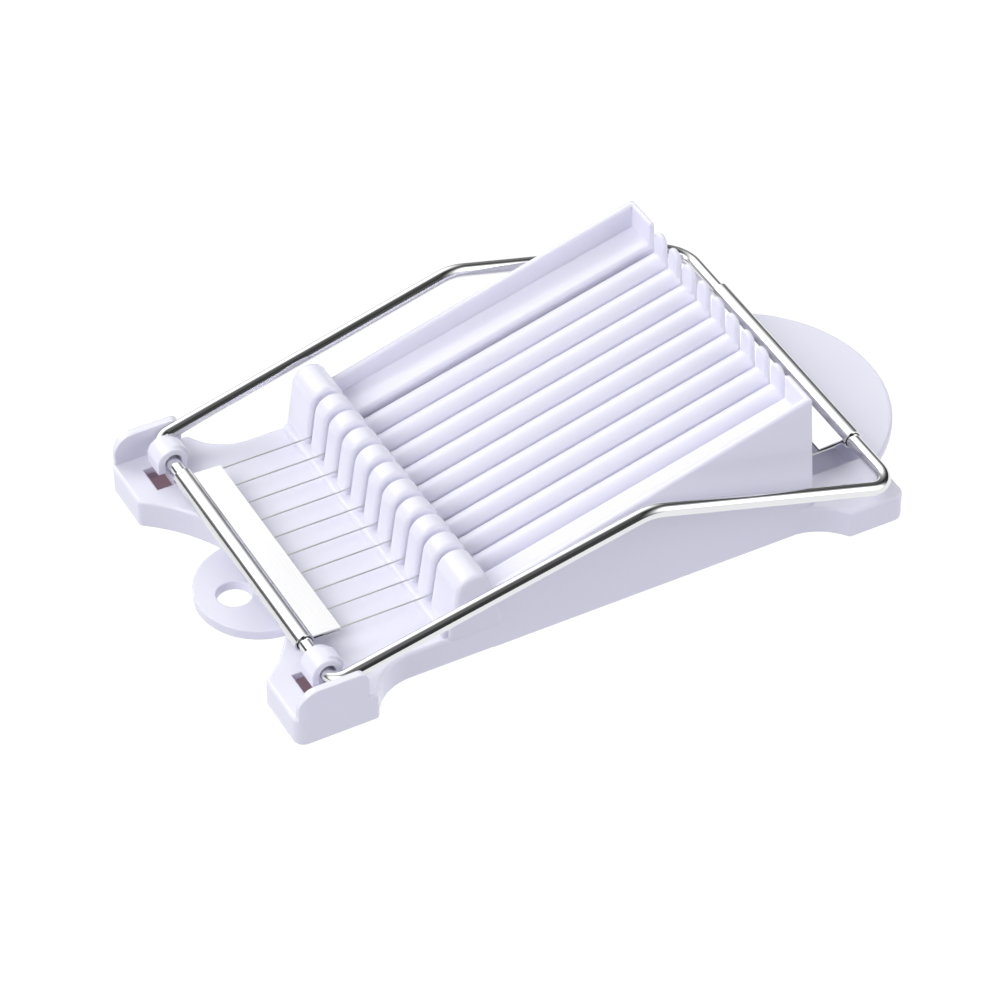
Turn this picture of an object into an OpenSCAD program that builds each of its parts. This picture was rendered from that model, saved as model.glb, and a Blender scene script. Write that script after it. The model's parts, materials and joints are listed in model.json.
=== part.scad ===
// Egg and luncheon meat slicer: a white moulded base and a hinged bail of steel rod
// that carries two clamp plates and a row of cutting wires.
// Millimetres, +Z up. X runs from the hinge end (-X) to the thumb tab end (+X), and
// Z = 0 is the table. Modules are drawn with X = 0 on the hinge axis, and place()
// moves them so that the origin is under the middle of the whole slicer.

/* [Cutting wires] */
// Number of cutting wires
wire_count = 10; // [8:1:10]
// Distance between neighbouring wires
wire_pitch = 8; // [7.6:0.1:8]
// Diameter of a cutting wire
wire_d = 0.5; // [0.3:0.1:0.6]
// Height of the closed wires above the table
wire_z = 14.2; // [14:0.1:14.4]

/* [Bail rod] */
// Diameter of the bail rod
rod_d = 4; // [3.6:0.1:4]
// Height of the hinge axis above the table
hinge_z = 14.8; // [14.6:0.1:15]
// Distance from the hinge axis to the rear crossbar
bail_len = 168.5; // [168:0.5:170]
// Height of the rear crossbar above the table
rear_bar_z = 15; // [14.8:0.1:15.4]
// Half distance between the side arms at the hinge
arm_y_front = 54.6; // [54.4:0.1:54.8]
// Half distance between the side arms at the rear crossbar
arm_y_rear = 58.6; // [58:0.1:58.8]
// Height of the bend half way along the side arms
arm_bend_z = 37; // [36:0.5:38]

/* [Base] */
// Width over the two front feet
front_foot_w = 117; // [117:0.2:118]
// Width over the two rear feet
rear_foot_w = 114; // [112:0.5:116]
// Width of the skirt between the feet
skirt_w = 98; // [98:0.1:98.6]
// Height of the deck and of the rear flange
deck_z = 9.2; // [9:0.1:9.4]
// Wall thickness of the moulding
wall_t = 2.2; // [1.8:0.1:2.4]

/* [Bed] */
// Width of the slots that the wires pass through
slot_w = 1.4; // [1.2:0.1:1.6]
// Height of the bed where it leaves the comb
bed_z_front = 16.6; // [16.2:0.1:17]
// Height of the bed at the rear teeth
bed_z_rear = 40; // [39:0.5:41]
// Height of the comb above the table
comb_z = 28; // [27:0.5:29]
// Height of the rear teeth above the table
teeth_z = 49.6; // [49:0.1:50]

/* [Tabs] */
// Diameter of the hole in the hanging tab
hang_hole_d = 10; // [8:0.5:11]
// Thickness of the hanging tab and of the thumb tab
tab_t = 3; // [2.5:0.1:3.2]

/* [Hidden] */
eps = 0.01;
rod_r = rod_d / 2;
hinge_gap = 0.05;               // radial running clearance of the rod in its hooks
slot_floor_z = 11.4;            // also the top of the comb's plinth
span_y = (wire_count - 1) * wire_pitch;
rib_w = wire_pitch - slot_w;
function wire_y(i) = i * wire_pitch - span_y / 2;
function rib_y(i) = wire_y(i) + wire_pitch / 2;

// Places along X, from the hinge axis
front_x = -12.8;                // front face of the front feet
hang_tip_x = -13.6;
front_foot_x1 = 11.1;           // where a front foot turns in to the skirt
plinth_x = 35.4;
comb_x = 37.2;
comb_back_x = 53.6;
teeth_x = 145.2;
back_top_x = 147.2;             // back face of the rear wall at its top
back_wall_x = 149.2;            // and at the table
rear_foot_x0 = 155.6;
rear_x = 173.5;                 // rear face of the rear feet
thumb_tip_x = 197;
origin_x = (hang_tip_x + thumb_tip_x) / 2;

skirt_y = skirt_w / 2;
front_foot_y = front_foot_w / 2;
rear_foot_y = rear_foot_w / 2;
inner_y = skirt_y - wall_t;     // inner face of the bed's side walls
comb_y = skirt_y - 0.8;         // outer end of the comb
end_y = span_y / 2 + slot_w / 2; // where the end strips begin

// Front arc between the feet, and the hollow curves behind and before the feet
front_arc_r = 49.2;
front_arc_x = -42;
front_sweep_r = 15;
front_sweep_x = 25;
rear_sweep_r = 17;
rear_sweep_x = 141.5;

bed_x0 = 54;
bed_slope = (bed_z_rear - bed_z_front) / (144 - bed_x0);
bed_angle = atan(bed_slope);
rib_depth = 7;
rib_crown = 2.6;
function bed_z(x) = bed_z_front + (x - bed_x0) * bed_slope;

comb_r = 5.2;
comb_top_x = 44.6;
comb_lean = 171;                // where the comb's front face meets its round top
comb_fall = 28;                 // where its back slope leaves the round top

wall_z_front = 21.8;            // height of the bed's side walls behind the comb
wall_z_rear = 48.2;             // and at the rear

hook_r = 5.2;
hook_y0 = 43.6;
hook_y1 = 50.8;
hook_mouth = [195, 285];        // the snap-in mouth of a hook, in degrees
window_x0 = -6;
window_x1 = -0.6;
window_y0 = 41.4;

cheek_t = 1.4;
cheek_z = 18;
cheek_x0 = -11.8;
cheek_x1 = 8.2;

pocket_x1 = 170.3;
pocket_y = 38.5;
pocket_floor_z = 2.2;
thumb_r = 43;
thumb_z = 1;
hang_r = 18.5;
hang_hole_x = -3;

corner_r = arm_y_front - hook_y1; // bend of the rod just outside a hook
arm_bend_r = 14;
rear_corner_r = 12;
arm_bend_x = 93;
bend_swell = 0.02;              // a bend is this much fuller than the bar, so that the
bar_lap = 0.2;                  // bar's straight lengths end inside it, by this much

sheet_t = 0.75;                 // sheet steel of the clamp plates
sleeve_gap = 0.02;
front_sleeve_y = 37.4;
rear_sleeve_y = 36.4;
flange_inset = 0.8;             // a flange is this much shorter than its sleeve, each end
front_plate_len = 11;           // from the rod's axis to the edge that holds the wires
rear_plate_len = 10.2;
wire_grip = 5;                  // length of wire held inside each plate

white = "#f4f4f7";
steel = "#c9cbce";
wire_steel = "#b4b6ba";

// ---- helpers ----

// Points of an arc about c, from angle a0 to angle a1
function arc(c, r, a0, a1, n) =
    [for (k = [0:n]) let (a = a0 + (a1 - a0) * k / n) c + r * [cos(a), sin(a)]];
function unit(v) = v / norm(v);
function flipped(points) =
    [for (k = [len(points) - 1:-1:0]) [points[k][0], -points[k][1]]];

module place() translate([-origin_x, 0, 0]) children();
module both_sides() {
    children();
    mirror([0, 1, 0]) children();
}

// A side view (X, Z) made solid from y0 to y1
module side_plate(y0, y1) translate([0, y1, 0]) rotate([90, 0, 0])
    linear_extrude(y1 - y0) children();
// A round bar along Y at (x, z)
module bar_y(x, z, r, y0, y1) translate([x, y1, z]) rotate([90, 0, 0])
    cylinder(r = r, h = y1 - y0, $fn = 96);

// ---- base ----

// The far half of the base's outline on the table, set in by t
function half_outline(t) = let (
    fr = front_arc_r + t,
    fa = acos((front_x + t - front_arc_x) / fr),
    fsr = front_sweep_r + t,
    fsy = skirt_y + front_sweep_r,
    fsa = asin((front_foot_y - t - fsy) / fsr),
    rsr = rear_sweep_r + t,
    rsy = skirt_y + rear_sweep_r,
    rsa = asin((rear_foot_y - t - rsy) / rsr),
    cr = 3.2 - t
) concat(
    arc([front_arc_x, 0], fr, 0, fa, 16),
    arc([front_x + t + cr, front_foot_y - t - cr], cr, 180, 90, 6),
    arc([front_sweep_x, fsy], fsr, -180 - fsa, -90, 10),
    arc([rear_sweep_x, rsy], rsr, -90, rsa, 10),
    arc([rear_x - t - cr, rear_foot_y - t - cr], cr, 90, 0, 6)
);
module footprint(t) polygon(concat(half_outline(t), flipped(half_outline(t))));

// Side view of the comb, set in by t
module comb_view(t) polygon(concat(
    [[comb_x + t, slot_floor_z - wall_t - t]],
    arc([comb_top_x, comb_z - comb_r], comb_r - t, comb_lean, comb_fall, 14),
    [[comb_back_x - t, bed_z(comb_back_x) - t], [comb_back_x - t, slot_floor_z - wall_t - t]]
));

// Side view of a side wall of the bed
module wall_view() polygon([
    [comb_back_x - 4, 0], [comb_back_x - 4, wall_z_front - 1], [comb_back_x, wall_z_front],
    [teeth_x, wall_z_rear], [back_top_x, wall_z_rear], [back_wall_x, 0]
]);

// Cross-section of one rib, with its crown at y = 0
module rib_section() {
    r = (rib_w * rib_w / 4 + rib_crown * rib_crown) / (2 * rib_crown);
    a = asin(rib_w / 2 / r);
    polygon(concat(
        arc([0, -r], r, 90 - a, 90 + a, 10),
        [[-rib_w / 2, -rib_depth], [-rib_w / 2 + wall_t, -rib_depth],
         [-rib_w / 2 + wall_t, -wall_t - rib_crown], [rib_w / 2 - wall_t, -wall_t - rib_crown],
         [rib_w / 2 - wall_t, -rib_depth], [rib_w / 2, -rib_depth]]
    ));
}

// A bar along the slope of the bed, from the comb to the teeth
module along_bed() {
    x0 = comb_back_x - 3;
    translate([x0, 0, bed_z(x0)]) rotate([0, -bed_angle, 0]) rotate([90, 0, 90])
        linear_extrude((teeth_x + 1 - x0) / cos(bed_angle)) children();
}

module ribs() {
    for (i = [0:wire_count - 2]) translate([0, rib_y(i), 0]) along_bed() rib_section();
    both_sides() along_bed() translate([end_y, -wall_t])
        square([inner_y - end_y + eps, wall_t]);
}

module comb() {
    for (i = [0:wire_count - 2]) translate([0, rib_y(i), 0]) difference() {
        side_plate(-rib_w / 2, rib_w / 2) comb_view(0);
        side_plate(-rib_w / 2 + wall_t, rib_w / 2 - wall_t) comb_view(wall_t);
    }
    both_sides() difference() {
        side_plate(end_y, comb_y) comb_view(0);
        side_plate(end_y + wall_t, comb_y - wall_t) comb_view(wall_t);
    }
}

// Rear wall with a row of round-topped teeth and a post at each end, thinner at its top
module rear_wall() intersection() {
    r = rib_w / 2;
    union() {
        for (i = [0:wire_count - 2]) translate([teeth_x, rib_y(i), 0]) {
            translate([0, -r, slot_floor_z])
                cube([back_wall_x - teeth_x, rib_w, teeth_z - r - slot_floor_z]);
            translate([0, 0, teeth_z - r]) rotate([0, 90, 0])
                cylinder(r = r, h = back_wall_x - teeth_x, $fn = 48);
        }
        both_sides() translate([teeth_x, end_y, slot_floor_z])
            cube([back_wall_x - teeth_x, skirt_y - end_y, wall_z_rear - slot_floor_z]);
        translate([teeth_x, -skirt_y, 0])
            cube([back_wall_x - teeth_x, skirt_w, slot_floor_z + eps]);
    }
    side_plate(-skirt_y, skirt_y) polygon([
        [teeth_x, 0], [teeth_x, teeth_z], [back_top_x, teeth_z], [back_wall_x, 0]
    ]);
}

// Deck, skirt, feet and rear flange as one thin shell, open underneath
module shell() {
    difference() {
        linear_extrude(deck_z) footprint(0);
        intersection() {
            translate([0, 0, -1]) linear_extrude(deck_z - wall_t + 1) footprint(wall_t);
            translate([front_x, -front_foot_y, -1])
                cube([teeth_x - front_x + eps, front_foot_w, deck_z]);
        }
        // the bed's side walls stand round an opening, so that nothing blocks the wires
        translate([comb_back_x, -inner_y, -1])
            cube([teeth_x - comb_back_x, 2 * inner_y, deck_z + 2]);
        both_sides() translate([rear_foot_x0 + wall_t, pocket_y + wall_t, -1])
            cube([rear_x - rear_foot_x0 - 2 * wall_t,
                  rear_foot_y - pocket_y - 2 * wall_t, deck_z - wall_t + 1]);
        translate([back_wall_x, -pocket_y, pocket_floor_z])
            cube([pocket_x1 - back_wall_x, 2 * pocket_y, deck_z]);
        both_sides() translate([window_x0, window_y0, -1])
            cube([window_x1 - window_x0, hook_y1 - window_y0, deck_z + 2]);
    }
    // plinth under the comb, one small step above the deck
    translate([plinth_x, -comb_y, deck_z - wall_t])
        cube([comb_back_x - plinth_x, 2 * comb_y, slot_floor_z - deck_z + wall_t]);
}

// A hook that the rod snaps into, open downwards on the side of the window
module hook() difference() {
    union() {
        bar_y(0, hinge_z, hook_r, hook_y0, hook_y1);
        translate([0, hook_y0, deck_z - wall_t])
            cube([hook_r, hook_y1 - hook_y0, hinge_z - deck_z + wall_t]);
    }
    bar_y(0, hinge_z, rod_r + hinge_gap, hook_y0 - 1, hook_y1 + 1);
    translate([0, 0, hinge_z]) side_plate(hook_y0 - 1, hook_y1 + 1)
        polygon(concat([[0, 0]], arc([0, 0], hook_r * 1.6, hook_mouth[0], hook_mouth[1], 6)));
    translate([-hook_r, hook_y0 - 1, 0])
        cube([2 * hook_r, hook_y1 - hook_y0 + 2, deck_z - wall_t]);
}

// A low guard on the outer edge of a front foot
module cheek() side_plate(front_foot_y - cheek_t, front_foot_y) polygon(concat(
    [[cheek_x1, deck_z - 1]],
    arc([cheek_x1 - 2.5, cheek_z - 2.5], 2.5, 0, 90, 5),
    arc([cheek_x0 + 4.5, cheek_z - 4.5], 4.5, 90, 180, 7),
    [[cheek_x0, deck_z - 1]]
));

module hanging_tab() linear_extrude(tab_t) difference() {
    union() {
        translate([hang_tip_x + hang_r, 0]) circle(r = hang_r, $fn = 96);
        polygon([[-2, -17], [2.5, -25], [9, -25], [9, 25], [2.5, 25], [-2, 17]]);
    }
    translate([hang_hole_x, 0]) circle(d = hang_hole_d, $fn = 64);
    translate([9, -hang_r - 1]) square([hang_r * 2, hang_r * 2 + 2]);
}

module thumb_tab() translate([0, 0, thumb_z]) linear_extrude(tab_t) intersection() {
    translate([thumb_tip_x - thumb_r, 0]) circle(r = thumb_r, $fn = 128);
    translate([rear_x - wall_t, -thumb_r]) square([thumb_r, 2 * thumb_r]);
}

module base() color(white) place() difference() {
    union() {
        shell();
        comb();
        ribs();
        rear_wall();
        both_sides() side_plate(inner_y, skirt_y) wall_view();
        both_sides() hook();
        both_sides() cheek();
        hanging_tab();
        thumb_tab();
    }
    // the slots, right through the comb, the bed and the rear teeth
    for (i = [0:wire_count - 1])
        translate([plinth_x - 1, wire_y(i) - slot_w / 2, slot_floor_z])
            cube([back_wall_x - plinth_x + 2, slot_w, teeth_z]);
}

// ---- bail ----

// A straight length of round bar from a to b, lapped into the bend at each end
module rod_between(a, b) {
    d = b - a;
    translate(a - unit(d) * bar_lap) rotate([0, acos(d[2] / norm(d)), atan2(d[1], d[0])])
        cylinder(r = rod_r, h = norm(d) + 2 * bar_lap, $fn = 96);
}

// The bend of the bar at point p, between directions d1 and d2
module rod_bend(p, d1, d2, r) {
    turn = acos(d1 * d2);
    centre = p + unit(d2 - d1) * r / cos(turn / 2);
    x = unit(p - d1 * r * tan(turn / 2) - centre);
    z = cross(x, d1);
    multmatrix([
        [x[0], d1[0], z[0], centre[0]],
        [x[1], d1[1], z[1], centre[1]],
        [x[2], d1[2], z[2], centre[2]],
        [0, 0, 0, 1]
    ]) rotate_extrude(angle = turn, $fn = 96) translate([r, 0])
        circle(r = rod_r + bend_swell, $fn = 48);
}

// Corners of the closed loop, each with the radius of its bend
bail_path = let (
    my = arm_y_front + (arm_y_rear - arm_y_front) * arm_bend_x / bail_len
) [
    [[0, -arm_y_front, hinge_z], corner_r],
    [[arm_bend_x, -my, arm_bend_z], arm_bend_r],
    [[bail_len, -arm_y_rear, rear_bar_z], rear_corner_r],
    [[bail_len, arm_y_rear, rear_bar_z], rear_corner_r],
    [[arm_bend_x, my, arm_bend_z], arm_bend_r],
    [[0, arm_y_front, hinge_z], corner_r]
];

module bail_rod() color(steel) place() {
    n = len(bail_path);
    dirs = [for (k = [0:n - 1]) unit(bail_path[(k + 1) % n][0] - bail_path[k][0])];
    // how far before and after each corner its bend reaches
    reach = [for (k = [0:n - 1]) let (turn = acos(dirs[(k + n - 1) % n] * dirs[k]))
        bail_path[k][1] * tan(turn / 2)];
    for (k = [0:n - 1]) {
        next = (k + 1) % n;
        rod_between(bail_path[k][0] + dirs[k] * reach[k],
                    bail_path[next][0] - dirs[k] * reach[next]);
        rod_bend(bail_path[k][0], dirs[(k + n - 1) % n], dirs[k], bail_path[k][1]);
    }
}

// A sheet folded round the rod and closed to a double flange of length len,
// which points along +X from the rod's axis
module clamp_plate(half_w, len) {
    ri = rod_r + sleeve_gap;
    difference() {
        union() {
            bar_y(0, 0, ri + sheet_t, -half_w, half_w);
            translate([0, flange_inset - half_w, -sheet_t])
                cube([len, 2 * (half_w - flange_inset), 2 * sheet_t]);
        }
        bar_y(0, 0, ri, -half_w - 1, half_w + 1);
    }
}

module front_clamp_plate() color(steel) place() translate([0, 0, hinge_z])
    rotate([0, atan((hinge_z - wire_z) / front_plate_len), 0])
        clamp_plate(front_sleeve_y, front_plate_len);

module rear_clamp_plate() color(steel) place() translate([bail_len, 0, rear_bar_z])
    rotate([0, 180 - atan((rear_bar_z - wire_z) / rear_plate_len), 0])
        clamp_plate(rear_sleeve_y, rear_plate_len);

module wire(i) color(wire_steel) place()
    translate([front_plate_len - wire_grip, wire_y(i), wire_z]) rotate([0, 90, 0])
        cylinder(d = wire_d, h = bail_len - rear_plate_len - front_plate_len + 2 * wire_grip,
                 $fn = 24);

base();
bail_rod();
front_clamp_plate();
rear_clamp_plate();
for (i = [0:wire_count - 1]) wire(i);
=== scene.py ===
import json
import math

import bpy
from bpy.props import FloatProperty, FloatVectorProperty, PointerProperty
from bpy.types import Operator, Panel, PropertyGroup
from mathutils import Matrix, Quaternion, Vector


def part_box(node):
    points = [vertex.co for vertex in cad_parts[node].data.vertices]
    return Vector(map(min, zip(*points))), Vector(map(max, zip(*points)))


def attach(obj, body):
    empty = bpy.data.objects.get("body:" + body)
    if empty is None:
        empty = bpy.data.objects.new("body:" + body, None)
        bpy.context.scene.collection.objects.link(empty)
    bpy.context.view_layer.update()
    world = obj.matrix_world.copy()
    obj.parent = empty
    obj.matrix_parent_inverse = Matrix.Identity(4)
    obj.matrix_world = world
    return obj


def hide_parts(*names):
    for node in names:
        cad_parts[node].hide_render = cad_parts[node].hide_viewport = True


bl_info = {
    "name": "Wire slicer",
    "version": (1, 0, 0),
    "blender": (4, 5, 0),
    "location": "3D View > Sidebar > Slicer",
    "description": "Builds an egg and luncheon meat slicer round its packed frame",
    "category": "Add Mesh",
}

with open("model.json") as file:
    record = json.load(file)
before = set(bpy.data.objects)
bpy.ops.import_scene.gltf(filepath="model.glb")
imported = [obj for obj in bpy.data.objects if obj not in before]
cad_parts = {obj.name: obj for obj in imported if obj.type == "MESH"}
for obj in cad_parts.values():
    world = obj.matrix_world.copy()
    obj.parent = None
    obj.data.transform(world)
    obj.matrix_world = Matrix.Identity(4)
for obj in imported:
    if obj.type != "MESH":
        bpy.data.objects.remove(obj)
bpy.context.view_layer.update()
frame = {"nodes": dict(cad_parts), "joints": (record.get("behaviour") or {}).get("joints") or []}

# What the frame gives. X runs from the hinge end to the thumb tab, and the hinge axis is along Y.
HINGE = Vector(frame["joints"][0]["pos_m"])
BASE_LO, BASE_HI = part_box("base")
ROD_LO, ROD_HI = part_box("bail_rod")
FRONT_PLATE_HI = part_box("front_clamp_plate")[1]
REAR_PLATE_LO, REAR_PLATE_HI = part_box("rear_clamp_plate")
WIRES = sorted(name for name in frame["nodes"] if name.startswith("wire_"))
WIRE_PLACES = [sum(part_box(name), Vector()) / 2 for name in WIRES]
WIRE_Z = WIRE_PLACES[0].z
PITCH = WIRE_PLACES[1].y - WIRE_PLACES[0].y
SPAN = WIRE_PLACES[-1].y - WIRE_PLACES[0].y
ROD_R = HINGE.x - ROD_LO.x
REAR_BAR = Vector((ROD_HI.x - ROD_R, 0, ROD_LO.z + ROD_R))
THUMB_TIP_X = BASE_HI.x - HINGE.x
HANG_TIP_X = BASE_LO.x - HINGE.x

EPS = 0.00001       # two points nearer than this are one
X, Y, Z = Vector((1, 0, 0)), Vector((0, 1, 0)), Vector((0, 0, 1))


def length(name, value, description):
    """A length that the user may change, in metres."""
    return FloatProperty(name=name, description=description, default=value, unit="LENGTH",
                         precision=4)


def turn(name, degrees, description):
    """An angle that the user may change, given in degrees."""
    return FloatProperty(name=name, description=description, subtype="ANGLE",
                         default=math.radians(degrees))


def light(name, strength, azimuth, elevation, power, description):
    """A soft light: its brightness, its azimuth and elevation in degrees, and how small it is."""
    return FloatVectorProperty(name=name, description=description, size=4,
                               default=(strength, azimuth, elevation, power))


def tint(name, colour, description):
    """A colour that the user may change."""
    return FloatVectorProperty(name=name, description=description, subtype="COLOR",
                               default=colour)


def gloss(name, value, description):
    """A roughness that the user may change: 0 is a mirror and 1 is chalk."""
    return FloatProperty(name=name, description=description, subtype="FACTOR", default=value)


class SlicerBaseSizes(PropertyGroup):
    """Sizes of the white moulding. Places along X are counted from the hinge axis."""

    deck_z: length("Deck height", 0.0092, "Height of the deck and the rear flange")
    wall: length("Wall", 0.0022, "Wall thickness of the moulding")
    skirt_y: length("Skirt", 0.049, "Half width of the skirt between the feet")
    rear_foot_y: length("Rear foot", 0.057, "Half width over the rear feet")
    slot: length("Slot width", 0.0014, "Width of the slots that the wires pass through")
    slot_floor_z: length("Slot floor", 0.0114, "Height of the slot floor and the comb's plinth")
    comb_z: length("Comb height", 0.0286, "Height of the comb")
    comb_round: length("Comb edges", 0.0014, "Radius on the edges of the comb's fingers")
    bed_slot: length("Bed slot", 0.0009, "Width of the slots between the ribs")
    bed_z_front: length("Bed, front", 0.0166, "Height of the bed where it leaves the comb")
    bed_z_rear: length("Bed, rear", 0.04, "Height of the bed at the rear teeth")
    rib_crown: length("Rib crown", 0.0026, "How far a rib's crown stands over its sides")
    tooth_w: length("Tooth width", 0.0056, "Width of a rear tooth")
    tooth_z: length("Tooth height", 0.0476, "Height of the rear teeth over the table")
    wall_z_front: length("Side wall, front", 0.0218, "Height of a side wall behind the comb")
    wall_z_rear: length("Side wall, rear", 0.0477, "Height of a side wall at the teeth")
    edge: length("Edge rounding", 0.0007, "Radius on the moulding's other edges")
    hook_r: length("Hook radius", 0.0045, "Outer radius of a hook")
    cheek_z: length("Cheek height", 0.018, "Height of the guard outside a hook")
    tab: length("Tab thickness", 0.003, "Thickness of the hanging tab and the thumb tab")
    hole_r: length("Hanging hole", 0.005, "Radius of the hole in the hanging tab")


class SlicerBailSizes(PropertyGroup):
    """Sizes of the bail."""

    arm_y_front: length("Arms, front", 0.0546, "Half distance between the arms at the hinge")
    arm_y_rear: length("Arms, rear", 0.0585, "Half distance between the arms at the rear bar")
    bend_x: length("Bend, along", 0.093, "Where the arms bend, from the hinge axis")
    bend_z: length("Bend, height", 0.037, "Height of the bend in the arms")
    hinge_corner: length("Hinge corner", 0.0038, "Radius of the bend just outside a hook")
    arm_corner: length("Arm bend", 0.014, "Radius of the bend half way along an arm")
    rear_corner: length("Rear corner", 0.008, "Radius of the bend at the rear bar")
    sheet: length("Sheet", 0.0005, "Thickness of the clamp plates' steel")
    slit: length("Slit", 0.0005, "Gap between a plate's two leaves")
    sleeve_gap: length("Sleeve gap", 0.00027, "Gap between a rod and the sleeve round it")
    flange_inset: length("Flange inset", 0.0008, "How much shorter a flange is than its sleeve")


class SlicerFinishes(PropertyGroup):
    """Colours and glosses."""

    plastic: tint("Plastic", (0.83, 0.824, 0.945), "Colour of the moulding")
    plastic_rough: gloss("Plastic roughness", 0.24, "Gloss of the moulding")
    steel: tint("Steel", (0.80, 0.80, 0.81), "Colour of the rod and the plates")
    rod_rough: gloss("Rod roughness", 0.05, "Gloss of the polished rod")
    sheet_rough: gloss("Sheet roughness", 0.12, "Gloss of the rolled sheet")
    wire: tint("Wire", (0.78, 0.78, 0.79), "Colour of the cutting wires")


class SlicerStudio(PropertyGroup):
    """The camera, the lights and the floor."""

    aim: FloatVectorProperty(name="Aim", description="Point that the camera looks at",
                             subtype="TRANSLATION", default=(-0.01632, -0.00499, 0.00747))
    distance: length("Distance", 1.298, "From the camera to the aim")
    azimuth: turn("Azimuth", -27.886, "Angle of the camera about the vertical")
    elevation: turn("Elevation", 41.92, "Angle of the camera over the table")
    roll: turn("Roll", -0.34, "Tilt of the camera about its own line of sight")
    lens: FloatProperty(name="Lens", description="Focal length in millimetres", default=170.9)
    back: light("Back light", 2.5, 90, 40, 8, "Broad light behind the slicer")
    spark: light("Highlight", 5, 120, 40, 60, "Small light behind, for the highlights on edges")
    front: light("Front light", 4.9, 198, 40, 12, "Broad light before the slicer")
    side: light("Side light", 3.6, -35, 20, 12, "Low light at the thumb tab's side")
    fill: FloatProperty(name="Fill light", description="Brightness all round", default=0.02)
    below: tint("Table", (0.45, 0.445, 0.53), "Light that the table throws back")


# ---- tools for modelling ----


def object_mode():
    """Object mode, with nothing selected."""
    if bpy.context.mode != "OBJECT":
        bpy.ops.object.mode_set(mode="OBJECT")
    bpy.ops.object.select_all(action="DESELECT")


def choose(*pieces):
    """Selects these pieces only; the first one is active."""
    object_mode()
    for piece in pieces:
        piece.select_set(True)
    bpy.context.view_layer.objects.active = pieces[0]
    return pieces[0]


def at(x, y, z):
    """A point whose x is counted from the hinge axis."""
    return Vector((HINGE.x + x, y, z))


def settle(piece, name):
    """Puts a piece's place and turn into its mesh."""
    choose(piece)
    bpy.ops.object.transform_apply(location=True, rotation=True, scale=True)
    piece.name = piece.data.name = name
    return piece


def block(name, low, high):
    """A box between two corners."""
    object_mode()
    bpy.ops.mesh.primitive_cube_add(size=1, location=(low + high) / 2, scale=high - low)
    return settle(bpy.context.object, name)


def peg(name, centre, radius, axis, depth, sides=64):
    """A round bar about a point."""
    object_mode()
    turn = axis.to_track_quat("Z", "Y").to_euler()
    bpy.ops.mesh.primitive_cylinder_add(vertices=sides, radius=radius, depth=depth,
                                        location=centre, rotation=turn)
    return settle(bpy.context.object, name)


class Pen:
    """Draws an outline as by hand: one point is extruded along lines and spun round arcs."""

    def __init__(self, name, start, normal):
        object_mode()
        bpy.ops.mesh.primitive_plane_add(size=0.001)
        self.piece = bpy.context.object
        self.piece.name = self.piece.data.name = name
        self.tip, self.normal = start.copy(), normal
        bpy.ops.object.mode_set(mode="EDIT")
        bpy.ops.mesh.select_mode(type="VERT")
        bpy.ops.mesh.select_all(action="SELECT")
        bpy.ops.mesh.merge(type="CENTER")
        bpy.ops.transform.translate(value=start)

    def line(self, *points):
        """Extrudes the outline straight to each point."""
        for point in points:
            bpy.ops.mesh.extrude_region_move(TRANSFORM_OT_translate={"value": point - self.tip})
            self.tip = point.copy()
        return self

    def arc(self, centre, degrees, steps):
        """Spins the outline about a centre, right-handed about the normal."""
        angle = math.radians(degrees)
        bpy.ops.mesh.spin(steps=steps, angle=-angle, center=centre, axis=self.normal)
        self.tip = centre + Matrix.Rotation(angle, 3, self.normal) @ (self.tip - centre)
        return self

    def solid(self, push):
        """Closes the outline, fills it and pushes it out to a solid."""
        bpy.ops.mesh.select_all(action="SELECT")
        bpy.ops.mesh.remove_doubles(threshold=EPS)
        bpy.ops.mesh.edge_face_add()
        bpy.ops.mesh.extrude_region_move(TRANSFORM_OT_translate={"value": push})
        bpy.ops.mesh.select_all(action="SELECT")
        bpy.ops.mesh.normals_make_consistent(inside=False)
        object_mode()
        return self.piece


def finish_modifier(piece, kind, **settings):
    """Adds one modifier and applies it."""
    choose(piece)
    bpy.ops.object.modifier_add(type=kind)
    modifier = piece.modifiers[-1]
    for key, value in settings.items():
        setattr(modifier, key, value)
    bpy.ops.object.modifier_apply(modifier=modifier.name)
    return piece


def round_over(piece, width, segments=4, angle=40):
    """Rounds every edge that turns by more than the angle."""
    return finish_modifier(piece, "BEVEL", width=width, segments=segments, limit_method="ANGLE",
                           angle_limit=math.radians(angle), use_clamp_overlap=True,
                           harden_normals=False)


def combine(piece, tool, operation):
    """Joins, cuts or trims a piece with a tool, and throws the tool away."""
    finish_modifier(piece, "BOOLEAN", object=tool, operation=operation, solver="EXACT")
    bpy.data.objects.remove(tool)
    return piece


def repeat(piece, count, step):
    """The piece and its copies in a row, in one mesh."""
    return finish_modifier(piece, "ARRAY", count=count, use_relative_offset=False,
                           use_constant_offset=True, constant_offset_displace=step)


def mirrored(piece):
    """The piece and its twin on the other side of the slicer."""
    choose(piece)
    bpy.ops.object.duplicate()
    twin = bpy.context.object
    bpy.ops.transform.mirror(constraint_axis=(False, True, False), orient_type="GLOBAL",
                             center_override=(0, 0, 0))
    bpy.ops.object.transform_apply(location=True, rotation=True, scale=True)
    choose(twin)
    bpy.ops.object.mode_set(mode="EDIT")
    bpy.ops.mesh.select_all(action="SELECT")
    bpy.ops.mesh.normals_make_consistent(inside=False)
    return join(piece.name, piece, twin)


def join(name, *pieces):
    """Puts pieces that don't touch into one mesh."""
    choose(*pieces)
    bpy.ops.object.join()
    piece = bpy.context.object
    piece.name = piece.data.name = name
    return piece


def smooth(piece, degrees, weight=50):
    """Shades curves smooth, and keeps flats flat and edges of more than these degrees hard."""
    choose(piece)
    bpy.ops.object.shade_smooth_by_angle(angle=math.radians(degrees))
    return finish_modifier(piece, "WEIGHTED_NORMAL", keep_sharp=True, weight=weight)


# ---- materials ----


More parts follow.
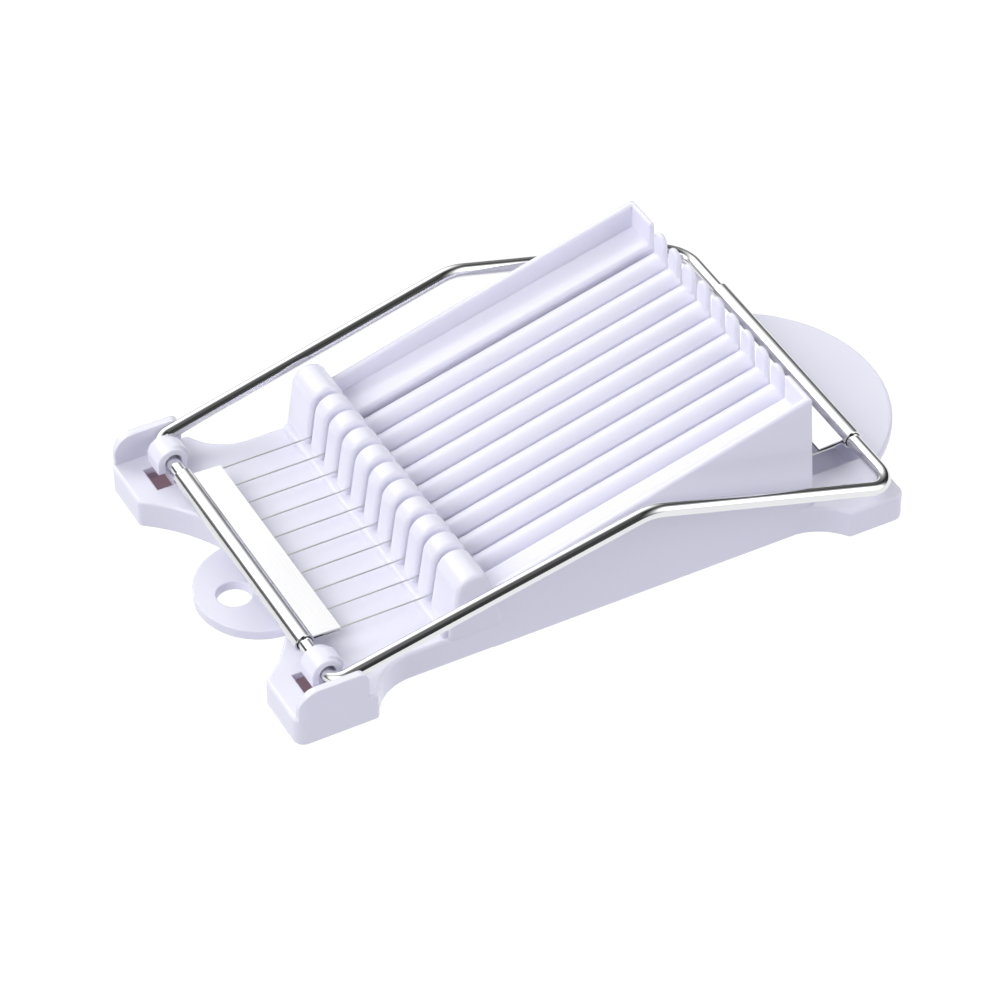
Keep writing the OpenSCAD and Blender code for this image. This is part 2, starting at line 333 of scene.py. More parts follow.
class Number:
    """A number that changes over a surface. Sums on it add Math nodes."""

    def __init__(self, finish, socket):
        self.finish, self.socket = finish, socket

    def __add__(self, other):
        return self.finish.math("ADD", self, other)

    def __sub__(self, other):
        return self.finish.math("SUBTRACT", self, other)

    def __rsub__(self, other):
        return self.finish.math("SUBTRACT", other, self)

    def __mul__(self, other):
        return self.finish.math("MULTIPLY", self, other)

    __radd__, __rmul__ = __add__, __mul__


class Finish:
    """The nodes of a material, or of the world, while they are made."""

    def __init__(self, owner):
        self.owner = owner
        owner.use_nodes = True
        self.tree = owner.node_tree
        self.tree.nodes.clear()

    def node(self, kind, settings=None, inputs=None, output=0):
        """One node: its settings first, then a value or a link for each socket."""
        node = self.tree.nodes.new(kind)
        for key, value in (settings or {}).items():
            setattr(node, key, value)
        for key, value in (inputs or {}).items():
            if isinstance(value, Number):
                self.tree.links.new(value.socket, node.inputs[key])
            else:
                node.inputs[key].default_value = value
        return Number(self, node.outputs[output]) if node.outputs else None

    def math(self, operation, first, second):
        """A Math node on two numbers."""
        return self.node("ShaderNodeMath", {"operation": operation}, {0: first, 1: second})

    def place(self, scale=(1, 1, 1)):
        """Object coordinates, stretched."""
        spot = self.node("ShaderNodeTexCoord", output="Object")
        return self.node("ShaderNodeMapping", inputs={"Vector": spot, "Scale": scale})

    def noise(self, size, detail=3.0, stretch=(1, 1, 1)):
        """Noise from 0 to 1 with spots of about this size in metres."""
        return self.node("ShaderNodeTexNoise", inputs={
            "Vector": self.place(stretch), "Scale": 1 / size, "Detail": detail})

    def blend(self, factor, low, high):
        """A colour between two colours."""
        return self.node("ShaderNodeMix", {"data_type": "RGBA"},
                         {"Factor": factor, 6: (*low, 1), 7: (*high, 1)}, output=2)

    def glow(self, colour, strength):
        """A surface that shines evenly."""
        shine = self.node("ShaderNodeEmission", inputs={"Color": colour, "Strength": strength})
        self.node("ShaderNodeOutputMaterial", inputs={"Surface": shine})
        return self.owner

    def surface(self, **inputs):
        """The shader itself. A key's underscores are spaces."""
        shader = self.node("ShaderNodeBsdfPrincipled",
                           inputs={k.replace("_", " "): v for k, v in inputs.items()})
        self.node("ShaderNodeOutputMaterial", inputs={"Surface": shader})
        return self.owner


def white_plastic(looks):
    """Glossy white moulding: faint flow marks in the colour, an even fine texture in the gloss."""
    f = Finish(bpy.data.materials.new("white_plastic"))
    flow = f.noise(0.03, 2.0)
    speck = f.noise(0.0011, 3.0)
    colour = f.blend(flow, [c * 0.985 for c in looks.plastic], looks.plastic)
    edges = f.node("ShaderNodeBevel", {"samples": 6}, {"Radius": 0.0006})
    bump = f.node("ShaderNodeBump", inputs={
        "Height": speck + flow * 2.0, "Strength": 0.08, "Distance": 0.0002, "Normal": edges})
    return f.surface(Base_Color=colour, Roughness=looks.plastic_rough + (speck - 0.5) * 0.10,
                     Normal=bump, IOR=1.5, Subsurface_Weight=0.12,
                     Subsurface_Radius=(0.0012, 0.0012, 0.0016), Subsurface_Scale=1.0)


def polished_steel(looks):
    """Polished rod: short fine scratches and a few duller patches."""
    f = Finish(bpy.data.materials.new("polished_steel"))
    scratch = f.noise(0.0004, 4.0, (0.25, 1, 1))
    patch = f.noise(0.012, 3.0)
    colour = f.blend(patch, [c * 0.94 for c in looks.steel], looks.steel)
    return f.surface(Base_Color=colour, Metallic=1.0,
                     Roughness=looks.rod_rough + scratch * 0.05 + patch * 0.04)


def rolled_sheet(looks):
    """Rolled sheet steel: grain along the plate, and a slight waviness."""
    f = Finish(bpy.data.materials.new("rolled_sheet"))
    grain = f.noise(0.0003, 5.0, (1, 0.03, 1))
    wave = f.noise(0.02, 2.0, (1, 0.6, 1))
    bump = f.node("ShaderNodeBump", inputs={
        "Height": grain * 0.3 + wave * 3.0, "Strength": 0.12, "Distance": 0.0003})
    colour = f.blend(grain * 0.4 + wave * 0.6, [c * 0.86 for c in looks.steel], looks.steel)
    return f.surface(Base_Color=colour, Metallic=1.0, Normal=bump,
                     Roughness=looks.sheet_rough + grain * 0.12)


def drawn_wire(looks):
    """Thin drawn wire, duller than the rod."""
    f = Finish(bpy.data.materials.new("drawn_wire"))
    grain = f.noise(0.0005, 3.0, (0.1, 1, 1))
    colour = f.blend(grain, [c * 0.8 for c in looks.wire], looks.wire)
    return f.surface(Base_Color=colour, Metallic=1.0, Roughness=0.3 + grain * 0.15)


def paint(piece, material, body):
    """Gives a piece its material and the body that it moves with."""
    piece.data.materials.clear()
    piece.data.materials.append(material)
    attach(piece, body)


# ---- the moulding ----

# Places along X are counted from the hinge axis.
FRONT_X, REAR_X = -0.0128, 0.1735           # front and rear face of the feet
FOOT_CORNER_R = 0.0032
SKIRT_ARC_X, SKIRT_ARC_R = -0.042, 0.0492   # the hollow between the front feet
FRONT_SWEEP_X, FRONT_SWEEP_R = 0.025, 0.015     # where a foot sweeps into the skirt
REAR_SWEEP_X, REAR_SWEEP_R = 0.1415, 0.017
FOOT_HOLLOW_X = 0.1578
PLINTH_X, PLINTH_LOW_Z, PLINTH_INSET = 0.0352, 0.0075, 0.0012
COMB_X, COMB_BACK_X, COMB_LOW_Z = 0.0366, 0.0536, 0.0078
COMB_TOP_X, COMB_TOP_R, COMB_ROOT_Z = 0.0442, 0.0052, 0.012
COMB_LEAN, COMB_FALL = math.radians(171), math.radians(14)  # ends of the comb's round top
END_BLOCK_R, END_BLOCK_OUT = 0.0012, 0.0003
BED_START_X, BED_END_X = 0.054, 0.144
RIB_DEPTH = 0.007
TEETH_X, BACK_TOP_X, BACK_X = 0.1452, 0.1467, 0.1492
POCKET_X, POCKET_Y, POCKET_FLOOR_Z = 0.1703, 0.0385, 0.0022
WINDOW_X, WINDOW_Y = (-0.006, -0.0006), (0.0414, 0.0508)
HOOK_Y, COLLAR_Y = (0.0436, 0.0508), (0.0449, 0.0495)
HOOK_LEG, COLLAR_SHIFT = 0.0028, 0.0009
CHEEK_X, CHEEK_IN, CHEEK_CORNERS = (-0.0119, 0.0082), 0.0023, (0.0058, 0.0025)
HANG_R, HANG_HOLE_X, HANG_END_X = 0.0185, -0.003, 0.0088
WEB_X, WEB_Y = (-0.001, 0.009), 0.0165      # the block that carries the hanging tab
THUMB_R, THUMB_LOW_Z = 0.043, 0.00108

# Two pieces that would share a face are set this far apart, because a union needs that.
SHY = 0.00003
FAR = 0.1       # past everything, for a tool that cuts right through


def bed_z(sizes, x):
    """Height of the bed at a place along X."""
    slope = (sizes.bed_z_rear - sizes.bed_z_front) / (BED_END_X - BED_START_X)
    return sizes.bed_z_front + (x - BED_START_X) * slope


def footprint(sizes, name, low, high, inset=0.0):
    """The outline of the base on the table, pushed up from low to high."""
    foot_y, skirt_y = BASE_HI.y, sizes.skirt_y
    corner = FOOT_CORNER_R - inset
    front_y, rear_y = foot_y - inset, sizes.rear_foot_y - inset
    arc_r = SKIRT_ARC_R + inset
    arc_end = math.acos((FRONT_X + inset - SKIRT_ARC_X) / arc_r)
    front_r, rear_r = FRONT_SWEEP_R + inset, REAR_SWEEP_R + inset
    front_c = (FRONT_SWEEP_X, skirt_y + FRONT_SWEEP_R)
    rear_c = (REAR_SWEEP_X, skirt_y + REAR_SWEEP_R)
    front_turn = math.asin((front_y - front_c[1]) / front_r)
    rear_turn = math.asin((rear_y - rear_c[1]) / rear_r)

    pen = Pen(name, at(SKIRT_ARC_X + arc_r, 0, low), Z)
    pen.arc(at(SKIRT_ARC_X, 0, low), math.degrees(arc_end), 20)
    pen.line(at(FRONT_X + inset, front_y - corner, low))
    pen.arc(at(FRONT_X + inset + corner, front_y - corner, low), -90, 8)
    pen.line(at(front_c[0] - front_r * math.cos(front_turn), front_y, low))
    pen.arc(at(*front_c, low), 90 + math.degrees(front_turn), 12)
    pen.line(at(rear_c[0], rear_c[1] - rear_r, low))
    pen.arc(at(*rear_c, low), 90 + math.degrees(rear_turn), 12)
    pen.line(at(REAR_X - inset - corner, rear_y, low))
    pen.arc(at(REAR_X - inset - corner, rear_y - corner, low), -90, 8)
    pen.line(at(REAR_X - inset, 0, low), at(SKIRT_ARC_X + arc_r, 0, low))
    half = pen.solid((high - low) * Z)
    finish_modifier(half, "MIRROR", use_axis=(False, True, False), use_clip=True)
    choose(half)
    bpy.ops.object.mode_set(mode="EDIT")
    bpy.ops.mesh.select_all(action="SELECT")
    bpy.ops.mesh.remove_doubles(threshold=EPS)
    bpy.ops.mesh.select_all(action="DESELECT")
    bpy.ops.mesh.select_mode(type="FACE")
    object_mode()
    for face in half.data.polygons:
        face.select = abs(face.center.y) < EPS and abs(face.normal.y) > 0.9
    choose(half)
    bpy.ops.object.mode_set(mode="EDIT")
    bpy.ops.mesh.delete(type="FACE")
    bpy.ops.mesh.select_all(action="SELECT")
    bpy.ops.mesh.dissolve_limited(angle_limit=math.radians(1))
    bpy.ops.mesh.normals_make_consistent(inside=False)
    object_mode()
    return half


class SLICER_OT_deck(Operator):
    """Deck, skirt and feet as one thin shell, with the rear pocket and the windows."""

    bl_idname = "slicer.deck"
    bl_label = "Deck and feet"

    def execute(self, context):
        s = context.scene.slicer_base
        deck = round_over(footprint(s, "deck", 0, s.deck_z), 0.001, 4, 50)
        hollow = footprint(s, "hollow", -0.001, s.deck_z - s.wall, s.wall)
        combine(hollow, block("end", at(TEETH_X, -FAR, -FAR), at(3 * FAR, FAR, FAR)), "DIFFERENCE")
        combine(deck, hollow, "DIFFERENCE")
        inner_y = s.skirt_y - s.wall
        cuts = [
            block("bed_opening", at(COMB_BACK_X, -inner_y, -0.01), at(TEETH_X, inner_y, 0.02)),
            round_over(block("pocket", at(BACK_X - 0.002, -POCKET_Y, POCKET_FLOOR_Z),
                             at(POCKET_X, POCKET_Y, 0.03)), 0.0006, 3),
        ]
        for side in (-1, 1):
            y = sorted(side * v for v in WINDOW_Y)
            cuts.append(block("window", at(WINDOW_X[0], y[0], -0.01), at(WINDOW_X[1], y[1], 0.02)))
            y = sorted(side * v for v in (POCKET_Y + s.wall, s.rear_foot_y - s.wall))
            cuts.append(block("foot_hollow", at(FOOT_HOLLOW_X, y[0], -0.01),
                              at(REAR_X - s.wall, y[1], s.deck_z - s.wall)))
        for cut in cuts:
            combine(deck, cut, "DIFFERENCE")
        plinth_y = s.skirt_y - PLINTH_INSET
        plinth = round_over(block("plinth", at(PLINTH_X, -plinth_y, PLINTH_LOW_Z),
                                  at(COMB_BACK_X + 0.001, plinth_y, s.slot_floor_z)), 0.0008, 4)
        combine(plinth, block("under", at(0, -FAR, 0), at(FAR, FAR, s.deck_z - s.wall)),
                "DIFFERENCE")
        combine(deck, plinth, "UNION")
        return {"FINISHED"}


def comb_outline(name, sizes, y):
    """Side view of the comb: leaning front, round top, and a slope that falls to the bed."""
    centre = at(COMB_TOP_X, y, sizes.comb_z - COMB_TOP_R)
    pen = Pen(name, at(COMB_X, y, COMB_LOW_Z), Y)
    pen.line(centre + COMB_TOP_R * Vector((math.cos(COMB_LEAN), 0, math.sin(COMB_LEAN))))
    pen.arc(centre, math.degrees(COMB_LEAN - COMB_FALL), 18)
    drop = pen.tip.z - COMB_ROOT_Z
    root = pen.tip + Vector((drop * math.tan(COMB_FALL), 0, -drop))
    pen.line(root, Vector((root.x, y, COMB_LOW_Z)), at(COMB_X, y, COMB_LOW_Z))
    return pen


class SLICER_OT_comb(Operator):
    """The front comb: a row of crowned fingers and an end block on each side."""

    bl_idname = "slicer.comb"
    bl_label = "Comb"

    def execute(self, context):
        s = context.scene.slicer_base
        rib = PITCH - s.slot
        first_y, end_y = -SPAN / 2 + s.slot / 2, SPAN / 2 + s.slot / 2
        fingers = comb_outline("fingers", s, first_y).solid(rib * Y)
        round_over(fingers, s.comb_round, 8)
        repeat(fingers, len(WIRES) - 1, PITCH * Y)
        end = comb_outline("end_block", s, end_y).solid((s.skirt_y + END_BLOCK_OUT - end_y) * Y)
        join("comb", fingers, mirrored(round_over(end, END_BLOCK_R, 6)))
        return {"FINISHED"}


class SLICER_OT_bed(Operator):
    """The sloping bed: crowned ribs, and a flat strip along each side wall."""

    bl_idname = "slicer.bed"
    bl_label = "Bed"

    def execute(self, context):
        s = context.scene.slicer_base
        x0, x1 = COMB_BACK_X - 0.003, TEETH_X + 0.001
        start = at(x0, 0, bed_z(s, x0))
        run = at(x1, 0, bed_z(s, x1)) - start
        half, crown, deep = (PITCH - s.bed_slot) / 2, s.rib_crown, RIB_DEPTH
        r = (half * half + crown * crown) / (2 * crown)
        turn = 2 * math.degrees(math.asin(half / r))
        middle = start + (-SPAN / 2 + PITCH / 2) * Y
        pen = Pen("ribs", middle - half * Y - crown * Z, X)
        pen.arc(middle - r * Z, -turn, 20)
        inside, roof = half - s.wall, s.wall + crown
        pen.line(*[middle + y * Y - z * Z for y, z in (
            (half, deep), (inside, deep), (inside, roof), (-inside, roof),
            (-inside, deep), (-half, deep), (-half, crown))])
        ribs = repeat(pen.solid(run), len(WIRES) - 1, PITCH * Y)
        edge, inner = SPAN / 2 + s.slot / 2, s.skirt_y - s.wall + 0.0005
        r, thick = 0.0012, s.wall * 1.6
        pen = Pen("strips", start + edge * Y - thick * Z, X)
        pen.line(start + edge * Y - r * Z)
        pen.arc(start + (edge + r) * Y - r * Z, -90, 6)
        pen.line(start + inner * Y, start + inner * Y - thick * Z, start + edge * Y - thick * Z)
        join("bed", ribs, mirrored(pen.solid(run)))
        return {"FINISHED"}


class SLICER_OT_side_walls(Operator):
    """The two tapering side walls of the bed, with rounded tops."""

    bl_idname = "slicer.side_walls"
    bl_label = "Side walls"

    def execute(self, context):
        s = context.scene.slicer_base
        y, start_x = s.skirt_y - s.wall, COMB_BACK_X - 0.004
        pen = Pen("side_walls", at(start_x, y, 0), Y)
        pen.line(at(start_x, y, s.wall_z_front - 0.001), at(COMB_BACK_X, y, s.wall_z_front),
                 at(TEETH_X, y, s.wall_z_rear), at(BACK_TOP_X, y, s.wall_z_rear),
                 at(BACK_X, y, 0), at(start_x, y, 0))
        mirrored(round_over(pen.solid(s.wall * Y), s.edge, 4, 30))
        return {"FINISHED"}


class SLICER_OT_teeth(Operator):
    """The rear wall: round-topped teeth between the slots and a post at each end."""

    bl_idname = "slicer.teeth"
    bl_label = "Rear teeth"

    def lean(self, piece):
        """Trims the back of a tooth or post to the wall's lean."""
        top, foot = at(BACK_TOP_X, -FAR, BASE_HI.z), at(BACK_X, -FAR, 0)
        rise = (top - foot) * 0.1
        pen = Pen("behind", foot - rise, Y)
        pen.line(top + rise, top + rise + 0.02 * X, foot - rise + 0.02 * X, foot - rise)
        return combine(piece, pen.solid(2 * FAR * Y), "DIFFERENCE")

    def execute(self, context):
        s = context.scene.slicer_base
        half = s.tooth_w / 2
        y = -SPAN / 2 + PITCH / 2
        depth = (BACK_X - TEETH_X) * X
        top, low = s.tooth_z - half, s.slot_floor_z - 0.002
        pen = Pen("teeth", at(TEETH_X, y - half, low), X)
        pen.line(at(TEETH_X, y - half, top))
        pen.arc(at(TEETH_X, y, top), -180, 24)
        pen.line(at(TEETH_X, y + half, low), at(TEETH_X, y - half, low))
        teeth = round_over(self.lean(pen.solid(depth)), 0.0008, 4, 50)
        repeat(teeth, len(WIRES) - 1, PITCH * Y)
        post = block("posts", at(TEETH_X, SPAN / 2 + s.slot / 2, low),
                     at(BACK_X, s.skirt_y, s.wall_z_rear))
        posts = mirrored(round_over(self.lean(post), s.edge, 4, 30))
        sill = block("sill", at(TEETH_X, -s.skirt_y, 0),
                     at(BACK_X - 0.0003, s.skirt_y, s.slot_floor_z))
        teeth = join("teeth", teeth, posts)
        combine(teeth, round_over(sill, 0.0003, 2), "UNION")
        return {"FINISHED"}


class SLICER_OT_hooks(Operator):
    """The two hooks that the rod snaps into, each on a short post."""

    bl_idname = "slicer.hooks"
    bl_label = "Hooks"

    def execute(self, context):
        s = context.scene.slicer_base
        hook = self.arch("hooks", s.hook_r, HOOK_Y, 0)
        collar = self.arch("collar", s.hook_r, COLLAR_Y, COLLAR_SHIFT)
        post = block("post", at(ROD_R + 0.0009, HOOK_Y[0] + 0.0002, s.deck_z - 0.001),
                     at(s.hook_r - 0.0003, HOOK_Y[1] - 0.0002, HINGE.z))
        combine(hook, collar, "UNION")
        mirrored(combine(hook, round_over(post, 0.0004, 3), "UNION"))
        return {"FINISHED"}

    def arch(self, name, outer, reach, shift):
        """An arch over the rod between two places along Y, with a leg on the window's side.

        The shift moves its outside away from the leg. The rod snaps in between leg and lip.
        """
        bore, low = ROD_R + 0.0004, reach[0]
        span, lip = 255, math.radians(-75)
        centre = Vector((HINGE.x + shift, low, HINGE.z))
        middle = Vector((HINGE.x + 0.0002, low, HINGE.z + 0.0002))
        foot = centre - Vector((outer, 0, HOOK_LEG))
        pen = Pen(name, foot, Y)
        pen.line(centre - outer * X)
        pen.arc(centre, span, 40)
        pen.line(middle + bore * Vector((math.cos(lip), 0, math.sin(lip))))
        pen.arc(middle, -span, 40)
        pen.line(Vector((middle.x - bore, low, foot.z)), foot)
        return round_over(pen.solid((reach[1] - low) * Y), 0.0006, 4, 50)


class SLICER_OT_cheeks(Operator):
    """The low guards on the outer edges of the front feet."""

    bl_idname = "slicer.cheeks"
    bl_label = "Cheeks"

    def execute(self, context):
        s = context.scene.slicer_base
        rim = footprint(s, "cheeks", s.deck_z - s.wall, s.cheek_z, SHY)
        (x0, x1), (r0, r1) = CHEEK_X, CHEEK_CORNERS
        y = BASE_HI.y - CHEEK_IN
        pen = Pen("view", at(x0, y, 0), Y)
        pen.line(at(x0, y, s.cheek_z - r0))
        pen.arc(at(x0 + r0, y, s.cheek_z - r0), 90, 8)
        pen.line(at(x1 - r1, y, s.cheek_z))
        pen.arc(at(x1 - r1, y, s.cheek_z - r1), 90, 6)
        pen.line(at(x1, y, 0), at(x0, y, 0))
        view = mirrored(pen.solid(0.02 * Y))
        combine(rim, view, "INTERSECT")
        round_over(rim, 0.0007, 4, 50)
        return {"FINISHED"}


class SLICER_OT_tabs(Operator):
    """The hanging tab with its round hole, and the wide thumb tab."""

    bl_idname = "slicer.tabs"
    bl_label = "Tabs"

    def execute(self, context):
        s = context.scene.slicer_base
        tab = peg("hanging_tab", at(HANG_TIP_X + HANG_R, 0, s.tab / 2 + SHY), HANG_R, Z, s.tab, 96)
        web = block("web", at(WEB_X[0], -WEB_Y, SHY), at(WEB_X[1], WEB_Y, s.tab + SHY))
        combine(tab, web, "UNION")
        combine(tab, block("trim", at(HANG_END_X, -FAR, -FAR), at(FAR, FAR, FAR)), "DIFFERENCE")
        combine(tab, peg("hole", at(HANG_HOLE_X, 0, 0), s.hole_r, Z, 0.02), "DIFFERENCE")
        round_over(tab, 0.0006, 4, 50)
        thumb = peg("thumb_tab", at(THUMB_TIP_X - THUMB_R, 0, THUMB_LOW_Z + s.tab / 2), THUMB_R,
                    Z, s.tab, 160)
        combine(thumb, block("trim", at(0, -FAR, -FAR), at(REAR_X - 0.0015, FAR, FAR)),
                "DIFFERENCE")
        round_over(thumb, 0.0009, 4, 50)
        join("tabs", tab, thumb)
        return {"FINISHED"}


class SLICER_OT_moulding(Operator):
    """Joins the parts of the base to one white moulding."""

    bl_idname = "slicer.moulding"
    bl_label = "Moulding"

    def execute(self, context):
        base = bpy.data.objects["deck"]
        for name in ("side_walls", "teeth", "bed", "comb", "cheeks", "hooks", "tabs"):
            combine(base, bpy.data.objects[name], "UNION")
        base.name = base.data.name = "base_moulding"
        smooth(base, 38, 100)
        paint(base, white_plastic(context.scene.slicer_finishes), "base")
        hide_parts("base")
        return {"FINISHED"}


# ---- the bail ----


class SLICER_OT_rod(Operator):
    """The bail's rod: a ring swept round the loop, straight by straight and bend by bend."""

    bl_idname = "slicer.rod"
    bl_label = "Bail rod"

    def execute(self, context):
        s = context.scene.slicer_bail
        reach = REAR_BAR.x - HINGE.x
        bend_y = s.arm_y_front + (s.arm_y_rear - s.arm_y_front) * s.bend_x / reach
        side = [(at(0, s.arm_y_front, HINGE.z), s.hinge_corner),
                (at(s.bend_x, bend_y, s.bend_z), s.arm_corner),
                (at(reach, s.arm_y_rear, REAR_BAR.z), s.rear_corner)]
        corners = side + [(Vector((p.x, -p.y, p.z)), r) for p, r in reversed(side)]
        points = [p for p, _ in corners]
        ways = [(q - p).normalized() for p, q in zip(points, points[1:] + points[:1])]
        object_mode()
        start = Vector((HINGE.x, 0, HINGE.z))
        bpy.ops.mesh.primitive_circle_add(vertices=48, radius=ROD_R, location=start,
                                          rotation=(math.pi / 2, 0, 0))
        rod = settle(bpy.context.object, "bail_rod_loop")
        bpy.ops.object.mode_set(mode="EDIT")
        bpy.ops.mesh.select_all(action="SELECT")
        tip = start
        for (corner, r), into, out in zip(corners, ways[-1:] + ways[:-1], ways):
            turn = into.angle(out)
            bend_start = corner - into * r * math.tan(turn / 2)
            centre = corner + (out - into).normalized() * r / math.cos(turn / 2)
            axis = into.cross(out).normalized()
            bpy.ops.mesh.extrude_region_move(TRANSFORM_OT_translate={"value": bend_start - tip})
            bpy.ops.mesh.spin(steps=max(4, round(math.degrees(turn) / 5)), angle=-turn,
                              center=centre, axis=axis)
            tip = corner + out * r * math.tan(turn / 2)
        bpy.ops.mesh.extrude_region_move(TRANSFORM_OT_translate={"value": start - tip})
        bpy.ops.mesh.select_all(action="SELECT")
        bpy.ops.mesh.remove_doubles(threshold=EPS)
        bpy.ops.mesh.normals_make_consistent(inside=False)
        smooth(rod, 60)
        paint(rod, polished_steel(context.scene.slicer_finishes), "bail")
        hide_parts("bail_rod")
        return {"FINISHED"}


def folded_plate(name, sizes, centre, toward, reach, half_width):
    """A sheet folded round the rod at centre, whose two leaves close on the wires.

    Reach is counted from the rod's axis. The leaves are a little narrower than the sleeve.
    """
    slit = sizes.slit / 2
    t = slit + sizes.sheet
    inner = ROD_R + sizes.sleeve_gap
    outer = inner + sizes.sheet
    up = toward.cross(Y)
    up = up if up.z > 0 else -up
    start = centre - half_width * Y

    def spot(along, over):
        return start + toward * along + up * over

    spin = 1 if up.cross(toward).y > 0 else -1
    outer_x, inner_x = math.sqrt(outer ** 2 - t ** 2), math.sqrt(inner ** 2 - slit ** 2)
    outer_turn = 360 - 2 * math.degrees(math.asin(t / outer))
    inner_turn = 360 - 2 * math.degrees(math.asin(slit / inner))
    pen = Pen(name, spot(reach, -t), Y)
    pen.line(spot(outer_x, -t))
    pen.arc(start, spin * outer_turn, 56)
    pen.line(spot(reach, t), spot(reach, slit), spot(inner_x, slit))
    pen.arc(start, -spin * inner_turn, 56)
    pen.line(spot(reach, -slit), spot(reach, -t))
    plate = pen.solid(2 * half_width * Y)
    trim = Vector((reach, 0.002, 0.003))
    for side in (-1, 1):
        edge = block("trim", -trim, trim)
        place = centre + toward * (outer + reach)
        place += side * (half_width + trim.y - sizes.flange_inset) * Y
        edge.data.transform(Matrix.Translation(place))
        combine(plate, edge, "DIFFERENCE")
    return round_over(plate, 0.00012, 2, 50)


class SLICER_OT_plates(Operator):
    """The two folded clamp plates, on the hinge bar and on the rear bar."""

    bl_idname = "slicer.plates"
    bl_label = "Clamp plates"

    def execute(self, context):
        s = context.scene.slicer_bail
        material = rolled_sheet(context.scene.slicer_finishes)
        wire_edges = (FRONT_PLATE_HI.x, REAR_PLATE_LO.x)
        bars = (Vector((HINGE.x, 0, HINGE.z)), REAR_BAR)
        widths = (FRONT_PLATE_HI.y, REAR_PLATE_HI.y)
        nodes = ("front_clamp_plate", "rear_clamp_plate")
        for node, bar, edge, width in zip(nodes, bars, wire_edges, widths):
            way = Vector((edge, 0, WIRE_Z)) - bar
            plate = folded_plate(node.replace("clamp", "folded"), s, bar, way.normalized(),
                                 way.length - 0.00006, width)
            smooth(plate, 40)
            paint(plate, material, "bail")
            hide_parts(node)
        return {"FINISHED"}


class SLICER_OT_wires(Operator):
    """The cutting wires keep their shape and get a drawn finish."""

    bl_idname = "slicer.wires"
    bl_label = "Cutting wires"

    def execute(self, context):
        material = drawn_wire(context.scene.slicer_finishes)
        for name in WIRES:
            wire = frame["nodes"][name]
            wire.data.materials.clear()
            wire.data.materials.append(material)
        return {"FINISHED"}


# ---- the studio ----


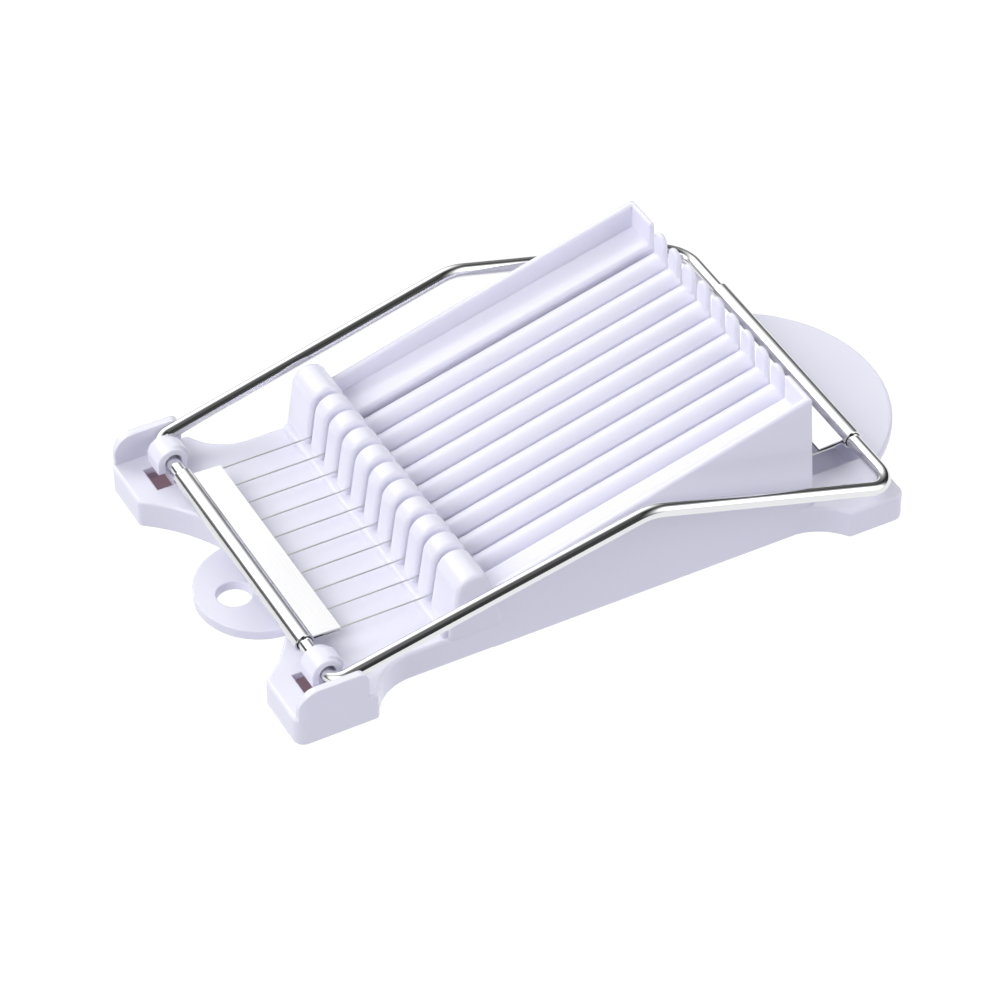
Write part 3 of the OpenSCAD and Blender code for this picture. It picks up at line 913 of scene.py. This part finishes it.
class SLICER_OT_studio(Operator):
    """Camera, floor and soft lights."""

    bl_idname = "slicer.studio"
    bl_label = "Studio"

    def camera(self, s):
        around = Vector((math.sin(s.azimuth) * math.cos(s.elevation),
                         -math.cos(s.azimuth) * math.cos(s.elevation), math.sin(s.elevation)))
        bpy.ops.object.camera_add(location=Vector(s.aim) + around * s.distance)
        camera = bpy.context.object
        camera.rotation_mode = "QUATERNION"
        camera.rotation_quaternion = around.to_track_quat("Z", "Y") @ Quaternion(Z, s.roll)
        camera.data.lens = s.lens
        camera.data.clip_start, camera.data.clip_end = 0.1, 20
        bpy.context.scene.camera = camera

    def floor(self):
        """A white floor that lights nothing: the world lights the pieces from below."""
        bpy.ops.mesh.primitive_plane_add(size=6, location=(0, 0, -0.0003))
        floor = settle(bpy.context.object, "floor")
        floor.visible_diffuse = floor.visible_shadow = False
        f = Finish(bpy.data.materials.new("floor"))
        paper = f.blend(f.noise(0.05, 2.0), (0.99, 0.99, 1.0), (1.0, 1.0, 1.0))
        f.glow(paper, 1.05)
        floor.data.materials.append(f.owner)

    def shade(self, sizes):
        """Painted shade: a dark mauve sheet that glows faintly, laid under the base where the
        table lies in the base's shadow; only the windows and slots show it. It also keeps the
        light from below out of the hollow.
        """
        shade = footprint(sizes, "shade", -0.0002, -0.0001, 0.0012)
        f = Finish(bpy.data.materials.new("shade"))
        # Painted shade: the dark mauve of the table in the base's shadow, as the sheet's colour
        # and as a faint glow of the same colour.
        colour = f.blend(f.noise(0.004, 2.0), (0.16, 0.105, 0.12), (0.20, 0.13, 0.15))
        shade.data.materials.append(f.surface(Base_Color=colour, Roughness=0.8,
                                              Emission_Color=(0.17, 0.115, 0.14, 1),
                                              Emission_Strength=0.9))

    def surroundings(self, context, s):
        """Soft lights all round, dark overhead, as broad lobes of the world's brightness."""
        f = Finish(bpy.data.worlds.new("studio"))
        context.scene.world = f.owner
        way = f.node("ShaderNodeTexCoord", output="Generated")
        glow = s.fill
        for strength, azimuth, elevation, power in (s.back, s.spark, s.front, s.side):
            around, up = math.radians(azimuth), math.radians(elevation)
            flat = math.cos(up)
            centre = (flat * math.cos(around), flat * math.sin(around), math.sin(up))
            near = f.node("ShaderNodeVectorMath", {"operation": "DOT_PRODUCT"},
                          {0: way, 1: centre}, output="Value")
            glow = f.math("POWER", f.math("MAXIMUM", near, 0.0), power) * strength + glow
        height = f.node("ShaderNodeSeparateXYZ", inputs={"Vector": way}, output="Z")
        under = f.math("LESS_THAN", height, 0.0)
        sky = f.node("ShaderNodeBackground", inputs={
            "Color": f.blend(under, (1, 1, 1), s.below), "Strength": glow + under})
        f.node("ShaderNodeOutputWorld", inputs={"Surface": sky})

    def execute(self, context):
        s = context.scene.slicer_studio
        object_mode()
        context.scene.view_settings.view_transform = "Standard"
        self.camera(s)
        self.floor()
        self.shade(context.scene.slicer_base)
        self.surroundings(context, s)
        return {"FINISHED"}


OPERATORS = (
    SLICER_OT_studio, SLICER_OT_deck, SLICER_OT_comb, SLICER_OT_bed, SLICER_OT_side_walls,
    SLICER_OT_teeth, SLICER_OT_hooks, SLICER_OT_cheeks, SLICER_OT_tabs, SLICER_OT_moulding,
    SLICER_OT_rod, SLICER_OT_plates, SLICER_OT_wires,
)


class SLICER_PT_panel(Panel):
    """Lists the slicer's pieces in the sidebar."""

    bl_label = "Wire slicer"
    bl_space_type = "VIEW_3D"
    bl_region_type = "UI"
    bl_category = "Slicer"

    def draw(self, context):
        for operator in OPERATORS:
            self.layout.operator(operator.bl_idname)
        for group in (context.scene.slicer_base, context.scene.slicer_bail,
                      context.scene.slicer_finishes, context.scene.slicer_studio):
            box = self.layout.box()
            for key in group.__annotations__:
                box.prop(group, key)


GROUPS = {"slicer_base": SlicerBaseSizes, "slicer_bail": SlicerBailSizes,
          "slicer_finishes": SlicerFinishes, "slicer_studio": SlicerStudio}


def register():
    for cls in (*GROUPS.values(), *OPERATORS, SLICER_PT_panel):
        bpy.utils.register_class(cls)
    for name, group in GROUPS.items():
        setattr(bpy.types.Scene, name, PointerProperty(type=group))


def unregister():
    for name in GROUPS:
        delattr(bpy.types.Scene, name)
    for cls in (SLICER_PT_panel, *reversed(OPERATORS), *GROUPS.values()):
        bpy.utils.unregister_class(cls)


def main():
    register()
    bpy.ops.slicer.studio()
    bpy.ops.slicer.deck()
    bpy.ops.slicer.comb()
    bpy.ops.slicer.bed()
    bpy.ops.slicer.side_walls()
    bpy.ops.slicer.teeth()
    bpy.ops.slicer.hooks()
    bpy.ops.slicer.cheeks()
    bpy.ops.slicer.tabs()
    bpy.ops.slicer.moulding()
    bpy.ops.slicer.rod()
    bpy.ops.slicer.plates()
    bpy.ops.slicer.wires()


if __name__ == "__main__":
    main()
